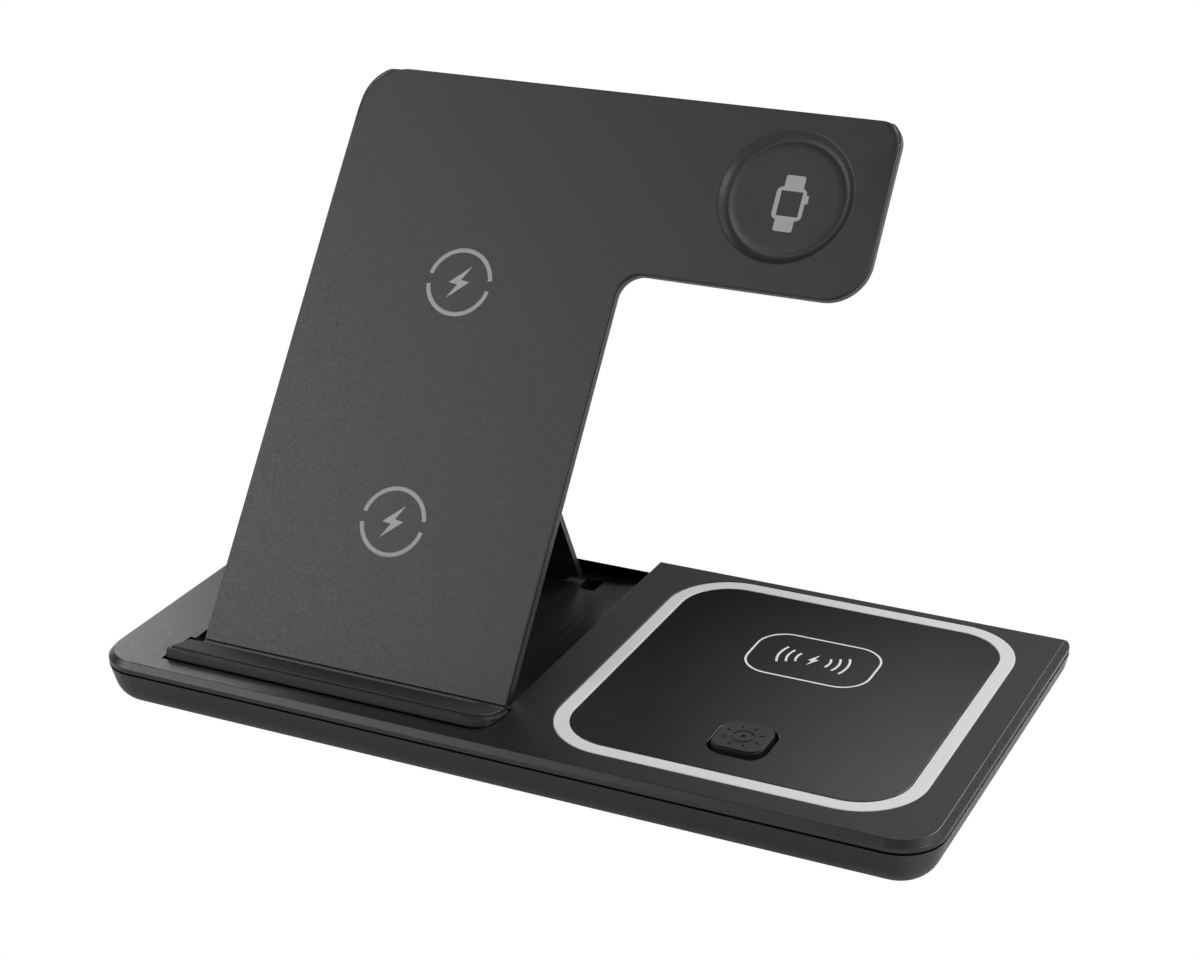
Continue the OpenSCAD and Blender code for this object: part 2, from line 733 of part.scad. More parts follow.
module panel_hinge_pin() {
  color([0.6, 0.6, 0.62]) place() translate([0, hinge_y, hinge_z])
    rod(hinge_pin_r, recess_x0 - wall - 2.4, recess_x1 + wall + 2.4);
}

module ledge_pin() {
  color([0.6, 0.6, 0.62]) place() translate([0, ledge_axis_y, ledge_axis_z])
    rod(ledge_pin_r, pocket_x0 - 2.8, pocket_x1 + 2.8);
}

// Carries the ledge's own frame: its pin is the x axis and it reaches towards -y
module on_ledge() {
  place() translate([0, ledge_axis_y, ledge_axis_z]) rotate([-ledge_tilt, 0, 0]) children();
}

module ledge_tray() {
  x0 = pocket_x0 + ledge_gap;
  x1 = pocket_x1 - ledge_gap;
  corner = 1.3;
  edge = 0.25;
  under = ledge_top - ledge_t;
  color([0.1, 0.1, 0.105]) on_ledge() difference() {
    union() {
      slab(under + edge, ledge_top - edge)
        round_rect(x0, x1, -ledge_len, 0, [corner, ledge_corner, 0, 0]);
      slab(under, ledge_top) round_rect(x0 + edge, x1 - edge, -ledge_len + edge, 0,
        [corner - edge, ledge_corner - edge, 0, 0]);
      rod(1.1, x0, x1);
    }
    slab(ledge_top - 0.6, ledge_top + 1)
      round_rect(x0 + 0.8, x1 - 0.8, 0.9 - ledge_len, -1, [0.9, ledge_corner - 0.8, 0, 0]);
    rod(ledge_pin_r + pin_fit, x0 - 1, x1 + 1);
  }
}

module ledge_pad() {
  x0 = pocket_x0 + ledge_gap + 1;
  x1 = pocket_x1 - ledge_gap - 1;
  color([0.06, 0.06, 0.06]) on_ledge() slab(ledge_top - 0.6, ledge_top - 0.6 + ledge_pad_t)
    round_rect(x0, x1, 1.25 - ledge_len, -1.1, [1, ledge_corner - 1, 0, 0]);
}

// Outline of the L, set in by t
module panel_plan(t, s0) {
  round_rect(panel_x0 + t, panel_x1 - t, s0, panel_len - t, [0, 0, 0, corner_tl - t]);
  round_rect(panel_x1 - 20, arm_x1 - t, arm_y0 + t, panel_len - t, [0, corner_br - t, corner_tr - t, 0]);
  r = corner_in + t;
  translate([panel_x1 - t, arm_y0 + t]) difference() {
    translate([-eps, -r]) square([r + eps, r + eps]);
    translate([r, -r]) circle(r);
  }
}

// What is taken off along an edge to round it: the edge is the x axis, the solid lies at +y, +z
module edge_waste(r) {
  translate([-1, -1]) difference() {
    square(r + 1);
    translate([r + 1, r + 1]) circle(r);
  }
}

module edge_cut(len, r) {
  rotate([90, 0, 90]) linear_extrude(len) edge_waste(r);
}

// Rounds the back edge round a convex plan corner of radius c, whose centre is the origin
module corner_cut(c, r) {
  rotate_extrude(angle = 90) translate([c, 0]) mirror([1, 0]) edge_waste(r);
}

// Rounds the back edge round the inner corner of the L
module inner_cut(c, r) {
  rotate_extrude(angle = 90) translate([c, 0]) edge_waste(r);
}

module back_edges() {
  r = back_r;
  translate([0, 0, -half_t]) {
    translate([panel_x0, panel_len - corner_tl, 0]) rotate([0, 0, -90])
      edge_cut(panel_len - corner_tl + half_t + 1, r);
    translate([panel_x0 + corner_tl, panel_len - corner_tl, 0]) rotate([0, 0, 90]) corner_cut(corner_tl, r);
    translate([arm_x1 - corner_tr, panel_len, 0]) rotate([0, 0, 180])
      edge_cut(arm_x1 - corner_tr - panel_x0 - corner_tl, r);
    translate([arm_x1 - corner_tr, panel_len - corner_tr, 0]) corner_cut(corner_tr, r);
    translate([arm_x1, arm_y0 + corner_br, 0]) rotate([0, 0, 90])
      edge_cut(arm_h - corner_br - corner_tr, r);
    translate([arm_x1 - corner_br, arm_y0 + corner_br, 0]) rotate([0, 0, -90]) corner_cut(corner_br, r);
    translate([panel_x1 + corner_in, arm_y0, 0]) edge_cut(arm_reach - corner_in - corner_br, r);
    translate([panel_x1 + corner_in, arm_y0 - corner_in, 0]) rotate([0, 0, 90]) inner_cut(corner_in, r);
    translate([panel_x1, -half_t - 1, 0]) rotate([0, 0, 90])
      edge_cut(arm_y0 - corner_in + half_t + 1, r);
  }
}

module top_edge() {
  translate([arm_x1 + 1, panel_len, half_t]) rotate([180, 0, 180])
    edge_cut(arm_x1 - panel_x0 + 2, top_round);
}

module niche_plan(grow) {
  translate([panel_mid - niche_w / 2 - grow, niche_s0 - grow])
    square([niche_w + 2 * grow, niche_s1 - niche_s0 + 2 * grow]);
}

module at_dish() {
  translate([dish_x, dish_s, 0]) children();
}

// Half section of the hollow of the dish: a wall that falls to a groove round a raised, domed disc.
// Its height is measured from the panel's face.
module dish_section() {
  gm = dish_r - dish_groove;
  gd = dish_depth - groove_arc;
  lean_in = atan2(gd, dish_groove) - acos(groove_arc / sqrt(dish_groove * dish_groove + gd * gd));
  dome_r = (disc_r * disc_r + disc_rise * disc_rise) / (2 * disc_rise);
  difference() {
    union() {
      polygon([
        [0, 1], [dish_r, 1], [dish_r, 0],
        [gm + groove_arc * cos(lean_in), groove_arc * sin(lean_in) - gd],
        [gm, -gd], [gm, -dish_depth], [0, -dish_depth]
      ]);
      translate([gm, -gd]) circle(groove_arc);
    }
    translate([-1, -dish_depth - 1]) square([disc_r + 1, dish_depth + 1 - disc_depth]);
    translate([disc_r, -disc_depth - disc_edge]) circle(disc_edge);
    intersection() {
      translate([0, disc_rise - disc_depth - dome_r]) circle(dome_r, $fn = 200);
      translate([-1, -disc_depth - 0.2]) square([disc_r + 1, disc_rise + 0.4]);
    }
  }
}

// Front cover: a thin face with a plug that fits in the back cover, screw posts and the watch dish
module panel_front_cover() {
  color([0.16, 0.16, 0.17]) on_panel() difference() {
    union() {
      slab(half_t - front_rim_t, half_t) panel_plan(0, 0.6);
      slab(front_in, half_t - front_rim_t + eps) panel_plan(back_wall + 0.2, 3.4);
      for (p = panel_posts) translate([p[0], p[1], panel_post_w])
        cylinder(r = panel_post_r, h = front_in - panel_post_w + eps);
      at_dish() translate([0, 0, cup_w]) cylinder(r = dish_r + 0.8, h = half_t - cup_w - 0.2);
    }
    at_dish() {
      translate([0, 0, half_t]) rotate_extrude() dish_section();
      translate([0, 0, cup_w - 1]) cylinder(r = disc_r + 0.4, h = watch_coil_w + watch_coil_t + 1 - cup_w);
    }
    for (p = panel_posts) translate([p[0], p[1], panel_post_w - 1])
      cylinder(r = panel_screw_r + 0.05, h = front_in - panel_post_w + 0.8);
    top_edge();
  }
}

// Back cover: a shallow tub with rounded edges, a hinge barrel along its foot, screw pads and a
// niche for the folded support leg
module panel_back_cover() {
  rim_w = half_t - front_rim_t - panel_seam;
  floor_w = back_wall - half_t;
  knuckle_w = (niche_w - barrel_w) / 2 - 0.2;
  color([0.13, 0.13, 0.14]) on_panel() difference() {
    union() {
      difference() {
        slab(-half_t, rim_w) panel_plan(0, 0);
        difference() {
          slab(floor_w, half_t) panel_plan(back_wall, half_t + 0.8);
          slab(-half_t, niche_floor + niche_skin) niche_plan(back_wall);
        }
        back_edges();
        slab(-half_t - 1, niche_floor) niche_plan(0);
      }
      difference() {
        rod(half_t, panel_x0, panel_x1);
        translate([panel_x0 - 1, 0.4, rim_w]) cube([panel_w + 2, half_t, half_t]);
      }
      for (p = panel_posts) translate([p[0], p[1], floor_w - eps])
        cylinder(r = panel_post_r + 0.2, h = panel_post_w - floor_w + eps);
      translate([panel_mid, leg_at, leg_axis_w]) for (side = [0, 1]) mirror([side, 0, 0]) {
        rod(leg_barrel_r, barrel_w / 2 + 0.2, niche_w / 2 + eps);
        translate([barrel_w / 2 + 0.2, niche_s0 - leg_at - eps, -leg_t / 2])
          cube([knuckle_w, leg_at - niche_s0 + eps, leg_t + 0.1 + eps]);
      }
    }
    top_edge();
    for (p = panel_posts) translate([p[0], p[1], -half_t - 1]) {
      cylinder(r = panel_head_r + 0.2, h = 1.9);
      cylinder(r = panel_screw_r + 0.2, h = half_t + 1);
    }
    rod(hinge_pin_r + pin_fit, panel_x0 - 1, panel_x1 + 1);
    translate([panel_mid, leg_at, leg_axis_w]) rod(leg_pin_r + 0.02, -leg_w / 2, leg_w / 2);
  }
}

module phone_coil(s) {
  t = phone_coil_t;
  color([0.75, 0.42, 0.2]) on_panel() translate([panel_mid, s, front_in - t])
    coil(phone_coil_r, coil_hole_r, t);
}

module phone_shield(s) {
  t = phone_shield_t;
  color([0.25, 0.25, 0.27]) on_panel() translate([panel_mid, s, front_in - phone_coil_t - t])
    shield(phone_coil_r, 0.8, t);
}

module phone_coil_lower() {
  phone_coil(coil_low);
}

module phone_coil_upper() {
  phone_coil(coil_high);
}

module phone_shield_lower() {
  phone_shield(coil_low);
}

module phone_shield_upper() {
  phone_shield(coil_high);
}

module watch_coil() {
  color([0.75, 0.42, 0.2]) on_panel() at_dish() translate([0, 0, watch_coil_w])
    coil(watch_coil_r, 4, watch_coil_t);
}

module watch_shield() {
  color([0.25, 0.25, 0.27]) on_panel() at_dish()
    translate([0, 0, watch_coil_w - watch_shield_t]) cylinder(r = disc_r + 0.3, h = watch_shield_t);
}

module panel_board() {
  color([0.08, 0.25, 0.14]) on_panel() slab(back_wall - half_t, back_wall - half_t + 0.8)
    even_rect(panel_mid - 20, panel_mid + 20, coil_low - 11, coil_low + 11, 1.5);
}

module panel_screws() {
  head_w = 0.2 - half_t;
  color([0.3, 0.3, 0.32]) on_panel() for (p = panel_posts) translate([p[0], p[1], head_w]) difference() {
    union() {
      cylinder(r = panel_head_r, h = 0.7);
      cylinder(r = panel_screw_r, h = 3);
    }
    for (turn = [0, 90]) rotate(turn) translate([-0.9, -0.15, -1]) cube([1.8, 0.3, 1.35]);
  }
}

// Support leg: a flat plate with a hinge barrel at one end and a narrower tongue with a rounded tip
// at the other
module support_leg() {
  h = leg_w / 2;
  t = leg_t / 2;
  root = leg_barrel_r + 0.6;
  color([0.12, 0.12, 0.125]) place()
    translate([panel_mid, leg_axis_y, leg_axis_z]) rotate([-leg_slope, 0, 0]) difference() {
      union() {
        slab(-t, t) round_rect(-h, h, root, leg_len - tongue_len, [0, 0, 0, 0]);
        slab(-t, t) round_rect(-tongue_w / 2, tongue_w / 2, root, leg_len, [0, 0, 0, 0]);
        slab(-t, t) round_rect(-barrel_w / 2, barrel_w / 2, 0, root + eps, [0, 0, 0, 0]);
        rod(leg_barrel_r, -barrel_w / 2, barrel_w / 2);
        translate([0, leg_len, 0]) rod(t, -tongue_w / 2, tongue_w / 2);
      }
      rod(leg_pin_r + pin_fit, -h, h);
      slab(-t - 1, t + 1) for (side = [-1, 1]) translate([side * h, root]) rotate(45)
        square(2.4, center = true);
    }
}

module leg_pin() {
  color([0.6, 0.6, 0.62]) place() translate([panel_mid, leg_axis_y, leg_axis_z])
    rod(leg_pin_r, -leg_w / 2 + 0.2, leg_w / 2 - 0.2);
}

base_top_cover();
base_bottom_cover();
light_ring();
ring_lamp_board();
pad_face();
earbud_coil();
earbud_coil_shield();
main_board();
board_chips();
usb_c_socket();
light_button();
switch_plunger();
button_switch();
rubber_feet();
case_screws();
panel_hinge_pin();
ledge_pin();
ledge_tray();
ledge_pad();
panel_front_cover();
panel_back_cover();
phone_coil_lower();
phone_coil_upper();
phone_shield_lower();
phone_shield_upper();
watch_coil();
watch_shield();
panel_board();
panel_screws();
support_leg();
leg_pin();
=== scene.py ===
import math

import bmesh
import bpy
from mathutils import Matrix, Vector


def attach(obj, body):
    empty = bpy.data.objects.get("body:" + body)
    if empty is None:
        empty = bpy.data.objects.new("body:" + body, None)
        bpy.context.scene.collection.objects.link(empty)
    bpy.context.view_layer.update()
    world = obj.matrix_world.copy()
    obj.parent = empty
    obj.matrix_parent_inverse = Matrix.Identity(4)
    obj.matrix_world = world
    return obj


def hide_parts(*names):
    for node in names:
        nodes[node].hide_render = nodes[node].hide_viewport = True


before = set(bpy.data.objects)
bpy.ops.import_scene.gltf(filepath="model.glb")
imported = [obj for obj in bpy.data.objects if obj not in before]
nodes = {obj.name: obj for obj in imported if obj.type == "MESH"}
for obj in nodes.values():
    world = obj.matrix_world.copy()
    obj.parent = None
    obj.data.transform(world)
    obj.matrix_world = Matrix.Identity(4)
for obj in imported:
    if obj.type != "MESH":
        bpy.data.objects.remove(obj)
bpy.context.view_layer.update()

scene = bpy.context.scene
print("frame loaded,", len(nodes), "nodes")

mm = 0.001

# Places on the stand, in millimetres, as the part's source gives them
stand = {
    "midY": 4.197,             # how far the base's middle stands towards the user
    "topZ": 11.8,
    "lean": 53.1,              # the open panel, in degrees above the horizontal
    "hingeY": -30.477,
    "hingeZ": 9.5,
    "panelX": -38.3,           # middle of the phone rest
    "halfPanel": 2.3,
    "padX": 44.8,
    "padY": 2.1,
    "rearY": 44.5,
    "dishX": 27.65,            # middle of the watch hollow, across the panel and up along it
    "dishS": 111.6,
}

# The camera, fitted to the photograph
shot = {
    "azimuth": 26.01,          # degrees to the right of the front
    "elevation": 23.554,
    "roll": -0.822,
    "lens": 73.82,
    "sensor": 36,
    "clip": (0.01, 20),        # metres
    "right": 3.69,             # the aim, in the picture's own axes, in millimetres
    "up": 40.84,
    "distance": 506.19,
    "lift": 4.67,
}


def makeCamera():
    az, el, roll = (math.radians(shot[k]) for k in ("azimuth", "elevation", "roll"))
    back = Vector((math.sin(az) * math.cos(el), -math.cos(az) * math.cos(el), math.sin(el)))
    right = Vector((math.cos(az), math.sin(az), 0))
    up = back.cross(right)
    axisX = right * math.cos(roll) + up * math.sin(roll)
    axisY = -right * math.sin(roll) + up * math.cos(roll)
    place = axisX * shot["right"] + axisY * shot["up"] + back * shot["distance"]
    place += Vector((0, -stand["midY"], shot["lift"]))
    turn = Matrix((axisX, axisY, back)).transposed().to_4x4()
    camera = bpy.data.objects.new("camera", bpy.data.cameras.new("camera"))
    camera.data.lens = shot["lens"]
    camera.data.sensor_width = shot["sensor"]
    camera.data.clip_start, camera.data.clip_end = shot["clip"]
    camera.matrix_world = Matrix.Translation(place * mm) @ turn
    scene.collection.objects.link(camera)
    scene.camera = camera


def addNode(tree, kind, **settings):
    node = tree.nodes.new(kind)
    for key, value in settings.items():
        setattr(node, key, value)
    return node


def mapRange(tree, source, fromEnds, toEnds):
    # Maps the source's range to another one, and holds it at the ends
    node = addNode(tree, "ShaderNodeMapRange")
    for label, ends in (("From", fromEnds), ("To", toEnds)):
        node.inputs[label + " Min"].default_value, node.inputs[label + " Max"].default_value = ends
    tree.links.new(source, node.inputs["Value"])
    return node.outputs["Result"]


def splitByRay(tree, lighting, seen, output):
    # The camera sees one thing, all other rays meet the other
    path = addNode(tree, "ShaderNodeLightPath")
    mix = addNode(tree, "ShaderNodeMixShader")
    tree.links.new(path.outputs["Is Camera Ray"], mix.inputs[0])
    tree.links.new(lighting.outputs[0], mix.inputs[1])
    tree.links.new(seen.outputs[0], mix.inputs[2])
    tree.links.new(mix.outputs[0], output.inputs["Surface"])


studio = {
    # World strength by the height of its direction, from straight down to straight up
    "sky": [(-1.0, 0.5), (0.0, 1.4), (0.2, 0.05), (0.43, 0.03), (0.51, 0.75), (0.7, 1.2),
            (0.85, 0.2), (1.0, 0.2)],
    # Behind the stand the sky is darker to the left
    "sideEnds": (-0.365, -0.265),      # sideways part of the direction
    "sideShare": (0.33, 1.3),          # and the strength's share there
    "behind": (-0.1, 0.1),             # where the front passes into the back
    "above": (0.26, 0.4),              # heights between which the sideways ramp sets in
    "backdrop": 1.0,                   # what the camera sees
    "lamps": [
        # name, place, aim, size, watts
        ("frontLamp", (-0.75, -0.6, 0.55), (0, 0, 0.04), 0.6, 4.2),
        ("rightLamp", (0.95, -0.15, 0.4), (0.03, 0, 0.08), 0.35, 3.2),
        ("rearRightLamp", (0.5, 0.8, 0.8), (0, 0, 0.04), 0.6, 8.5),
        ("rearLeftLamp", (-0.95, 0.75, 0.62), (0, 0, 0.04), 0.5, 3.0),
    ],
}


def skyRamp(tree, height):
    # A color ramp runs from 0 to 1, the height of a direction from -1 to 1
    ramp = addNode(tree, "ShaderNodeValToRGB")
    ramp.color_ramp.interpolation = "LINEAR"
    steps = ramp.color_ramp.elements
    for at, value in studio["sky"][1:-1]:
        steps.new((at + 1) / 2)
    for element, (at, value) in zip(steps, studio["sky"]):
        element.position = (at + 1) / 2
        element.color = (value, value, value, 1)
    tree.links.new(mapRange(tree, height, (-1, 1), (0, 1)), ramp.inputs[0])
    return ramp.outputs[0]


def makeWorld():
    world = bpy.data.worlds.new("studio")
    world.use_nodes = True
    scene.world = world
    tree = world.node_tree
    tree.nodes.clear()
    link = tree.links.new
    output = addNode(tree, "ShaderNodeOutputWorld")
    seen = addNode(tree, "ShaderNodeBackground")
    seen.inputs["Strength"].default_value = studio["backdrop"]
    lighting = addNode(tree, "ShaderNodeBackground")
    direction = addNode(tree, "ShaderNodeSeparateXYZ")
    link(addNode(tree, "ShaderNodeTexCoord").outputs["Generated"], direction.inputs[0])
    link(skyRamp(tree, direction.outputs["Z"]), lighting.inputs["Color"])
    where = addNode(tree, "ShaderNodeMath", operation="MULTIPLY")
    link(mapRange(tree, direction.outputs["Y"], studio["behind"], (0, 1)), where.inputs[0])
    link(mapRange(tree, direction.outputs["Z"], studio["above"], (0, 1)), where.inputs[1])
    share = addNode(tree, "ShaderNodeMix")
    share.inputs["A"].default_value = 1.0
    link(where.outputs[0], share.inputs["Factor"])
    link(mapRange(tree, direction.outputs["X"], studio["sideEnds"], studio["sideShare"]),
         share.inputs["B"])
    link(share.outputs["Result"], lighting.inputs["Strength"])
    splitByRay(tree, lighting, seen, output)


def makeLamps():
    for name, place, aim, size, power in studio["lamps"]:
        lamp = bpy.data.lights.new(name, "AREA")
        lamp.shape = "SQUARE"
        lamp.size = size
        lamp.energy = power
        holder = bpy.data.objects.new(name, lamp)
        holder.location = place
        holder.rotation_euler = (Vector(aim) - Vector(place)).to_track_quat("-Z", "Y").to_euler()
        scene.collection.objects.link(holder)


tableTop = {
    "half": 6.0,               # half its side, in metres
    "tone": 0.8,
    "glow": 1.0,
}


def makeFloor():
    # Pale to the lamps, and plain white to the camera
    mesh = bpy.data.meshes.new("tableTop")
    half = tableTop["half"]
    corners = [(-half, -half, 0), (half, -half, 0), (half, half, 0), (-half, half, 0)]
    mesh.from_pydata(corners, [], [(0, 1, 2, 3)])
    table = bpy.data.objects.new("tableTop", mesh)
    scene.collection.objects.link(table)
    material = bpy.data.materials.new("paleTable")
    material.use_nodes = True
    tree = material.node_tree
    tree.nodes.clear()
    output = addNode(tree, "ShaderNodeOutputMaterial")
    shade = addNode(tree, "ShaderNodeBsdfDiffuse")
    shade.inputs["Color"].default_value = (*[tableTop["tone"]] * 3, 1)
    glow = addNode(tree, "ShaderNodeEmission")
    glow.inputs["Strength"].default_value = tableTop["glow"]
    splitByRay(tree, shade, glow, output)
    mesh.materials.append(material)


makeCamera()
makeWorld()
makeLamps()
makeFloor()
scene.view_settings.view_transform = "Standard"
print("camera, lamps and table made")


finishing = {
    "noiseDetail": 2,
    "noiseEnds": (0.3, 0.7),           # about the noise's own range
    "patchScale": 1400,                # scale of the patches in the roughness
    "bevelSamples": 8,
    "wearAndHighlightEnds": (0.6, 0.93),           # agreement of the two normals: full paler edge (wear and painted highlight), and none
    "wearAndHighlightGain": 2.2,                   # the paler edge color, part wear and part painted highlight, is the plain one times this
    "wearAndHighlightLift": 0.03,                  # and more by this
}


def noise(tree, scale):
    node = addNode(tree, "ShaderNodeTexNoise")
    node.inputs["Scale"].default_value = scale
    node.inputs["Detail"].default_value = finishing["noiseDetail"]
    tree.links.new(addNode(tree, "ShaderNodeTexCoord").outputs["Object"], node.inputs["Vector"])
    return node.outputs["Fac"]


def wearAndHighlightEdges(tree, shader, color, wearAndHighlight, edge):
    # Where the rounded normal leaves the face's own, the color is paler: edge wear, and a painted
    # highlight along the edges
    link = tree.links.new
    rounded = addNode(tree, "ShaderNodeBevel", samples=finishing["bevelSamples"])
    rounded.inputs["Radius"].default_value = edge * mm
    facing = addNode(tree, "ShaderNodeVectorMath", operation="DOT_PRODUCT")
    link(rounded.outputs[0], facing.inputs[0])
    link(addNode(tree, "ShaderNodeNewGeometry").outputs["Normal"], facing.inputs[1])
    # Painted highlight: the edge color is made paler than the plain one, standing for wear and for
    # light caught by the edges
    mix = addNode(tree, "ShaderNodeMix", data_type="RGBA")
    mix.inputs["A"].default_value = (*color, 1)
    wornAndHighlit = [min(1, finishing["wearAndHighlightGain"] * c + finishing["wearAndHighlightLift"]) for c in color]
    mix.inputs["B"].default_value = (*wornAndHighlit, 1)
    link(mapRange(tree, facing.outputs["Value"], finishing["wearAndHighlightEnds"], (wearAndHighlight, 0.0)),
         mix.inputs["Factor"])
    link(mix.outputs["Result"], shader.inputs["Base Color"])


def finish(name, color, rough, grain=0.0, grainScale=0, wearAndHighlight=0.0, edge=0.1,
           spreadRough=0.04, metal=0.0):
    # Grain is the bump's height and edge the width of the paler edge (wear and painted highlight),
    # both in millimetres
    material = bpy.data.materials.new(name)
    material.use_nodes = True
    tree = material.node_tree
    shader = tree.nodes["Principled BSDF"]
    shader.inputs["Metallic"].default_value = metal
    shader.inputs["Base Color"].default_value = (*color, 1)
    tree.links.new(mapRange(tree, noise(tree, finishing["patchScale"]), finishing["noiseEnds"],
                            (rough - spreadRough, rough + spreadRough)),
                   shader.inputs["Roughness"])
    if grain:
        bump = addNode(tree, "ShaderNodeBump")
        bump.inputs["Distance"].default_value = grain * mm
        bump.inputs["Strength"].default_value = 1.0
        tree.links.new(noise(tree, grainScale), bump.inputs["Height"])
        tree.links.new(bump.outputs[0], shader.inputs["Normal"])
    if wearAndHighlight:
        wearAndHighlightEdges(tree, shader, color, wearAndHighlight, edge)
    return material


finishes = {
    # look: color, roughness, grain, the grain's scale, paler edge (wear and painted highlight),
    # width of that edge
    "topPlastic": ((0.008, 0.008, 0.0085), 0.33, 0.0008, 3500, 0.1),
    "tubPlastic": ((0.006, 0.006, 0.0065), 0.36, 0.0008, 3500, 0.1),
    "panelPlastic": ((0.014, 0.014, 0.0145), 0.45, 0.005, 3200, 0.3),
    "backPlastic": ((0.011, 0.011, 0.0115), 0.45, 0.005, 3200, 0.3),
    "ringDiffuser": ((0.56, 0.56, 0.565), 0.4, 0.001, 4000),
    "padGloss": ((0.006, 0.006, 0.007), 0.07),
    "copperWire": ((0.72, 0.32, 0.14), 0.35, 0.01, 6000),
    "ferriteSheet": ((0.05, 0.05, 0.055), 0.6, 0.01, 4000),
    "solderMask": ((0.01, 0.09, 0.04), 0.35, 0.01, 2000),
    "chipEpoxy": ((0.02, 0.02, 0.02), 0.6, 0.01, 4000),
    "plainSteel": ((0.55, 0.55, 0.57), 0.3, 0.004, 2500),
    "blackSteel": ((0.08, 0.08, 0.085), 0.38, 0.004, 2500, 0.5),
    "buttonPlastic": ((0.008, 0.008, 0.008), 0.4, 0.003, 4000, 0.3, 0.2),
    "softRubber": ((0.012, 0.012, 0.012), 0.6, 0.012, 4500, 0.2),
    "ledgePlastic": ((0.008, 0.008, 0.0085), 0.38, 0.006, 3500, 0.4, 0.2),
    "legPlastic": ((0.008, 0.008, 0.0085), 0.42, 0.006, 3500, 0.3),
    "greyPrint": ((0.32, 0.32, 0.33), 0.55),
    "goldPlate": ((0.75, 0.52, 0.2), 0.25, 0.002, 5000),
    "palePrint": ((0.62, 0.62, 0.63), 0.5),
}
extras = {
    "copperWire": {"metal": 1.0},
    "plainSteel": {"metal": 1.0},
    "blackSteel": {"metal": 1.0},
    "goldPlate": {"metal": 1.0},
    "padGloss": {"spreadRough": 0.01},
}
looks = {}
for look, settings in finishes.items():
    looks[look] = finish(look, *settings, **extras.get(look, {}))

wears = {
    "base_top_cover": "topPlastic", "base_bottom_cover": "tubPlastic",
    "light_ring": "ringDiffuser", "ring_lamp_board": "solderMask", "pad_face": "padGloss",
    "earbud_coil": "copperWire", "earbud_coil_shield": "ferriteSheet",
    "main_board": "solderMask", "board_chips": "chipEpoxy", "usb_c_socket": "plainSteel",
    "light_button": "buttonPlastic", "switch_plunger": "softRubber",
    "button_switch": "plainSteel", "rubber_feet": "softRubber", "case_screws": "blackSteel",
    "panel_hinge_pin": "plainSteel", "ledge_pin": "plainSteel",
    "ledge_tray": "ledgePlastic", "ledge_pad": "softRubber",
    "panel_front_cover": "panelPlastic", "panel_back_cover": "backPlastic",
    "phone_coil_lower": "copperWire", "phone_coil_upper": "copperWire",
    "phone_shield_lower": "ferriteSheet", "phone_shield_upper": "ferriteSheet",
    "watch_coil": "copperWire", "watch_shield": "ferriteSheet", "panel_board": "solderMask",
    "panel_screws": "blackSteel", "support_leg": "legPlastic", "leg_pin": "plainSteel",
}
for nodeName, look in wears.items():
    mesh = nodes[nodeName].data
    mesh.materials.clear()
    mesh.materials.append(looks[look])
print("finishes on", len(wears), "nodes")


def panelPlace(x, s, w):
    # Across the open panel, up along it from the hinge, and out from its middle plane
    return (Matrix.Translation(Vector((0, stand["hingeY"], stand["hingeZ"])) * mm)
            @ Matrix.Rotation(math.radians(stand["lean"]), 4, "X")
            @ Matrix.Translation(Vector((x, s, w)) * mm))


def basePlace(x, y, z):
    return Matrix.Translation(Vector((x, y - stand["midY"], z)) * mm)


toPanel = panelPlace(0, 0, 0).inverted()
panelOut = panelPlace(0, 0, 1).translation - panelPlace(0, 0, 0).translation


def leansOut(face, share):
    # Whether the face looks out of the panel, by more than this share
    return face.normal.dot(panelOut) > share * mm


def bendOver(edge, degrees):
    # Whether the edge joins two faces and is convex by at least this angle
    return len(edge.link_faces) == 2 and edge.calc_face_angle_signed() >= math.radians(degrees)


def makePiece(builder, name, look, place=None):
    mesh = bpy.data.meshes.new(name)
    builder.to_mesh(mesh)
    builder.free()
    if place is not None:
        mesh.transform(place)
    mesh.materials.append(looks[look])
    piece = bpy.data.objects.new(name, mesh)
    scene.collection.objects.link(piece)
    return piece


# The hollow for the watch: a wall that falls to a groove, and a shallow bowl inside it
dish = {
    "rim": 14.2,
    "wall": [(13.75, 0.44), (13.4, 0.84), (13.1, 1.11), (12.8, 1.28), (12.45, 1.38),
             (12.1, 1.37), (11.8, 1.29)],          # radius and depth, from the rim inwards
    "disc": 11.4,
    "edge": 1.2,               # depth of the disc's edge
    "middle": 1.3,             # depth of its middle
    "rings": 12,
    # The plain hollow's faces, in the heights of panelPlace: all that are over the second height,
    # and those over the first that look out
    "slack": 0.02,             # how far beyond the rim they may reach
    "above": (0.4, 0.75),
    "facing": 0.02,
}


def discDepth(reach):
    return dish["middle"] + (dish["edge"] - dish["middle"]) * (reach / dish["disc"]) ** 2


def dishSpot(point):
    # Distance from the hollow's axis, height and turn round the axis
    spot = toPanel @ point / mm - Vector((stand["dishX"], stand["dishS"], 0))
    return math.hypot(spot.x, spot.y), spot.z, math.atan2(spot.y, spot.x)


def cutDish(builder):
    # Takes the plain hollow's faces out
    gone = []
    lowest, always = dish["above"]
    for face in builder.faces:
        face.normal_update()
        height = dishSpot(face.calc_center_median())[1]
        farthest = max(dishSpot(vert.co)[0] for vert in face.verts)
        if farthest < dish["rim"] + dish["slack"] and height > lowest:
            if height > always or leansOut(face, dish["facing"]):
                gone.append(face)
    bmesh.ops.delete(builder, geom=gone, context="FACES")
    return len(gone)


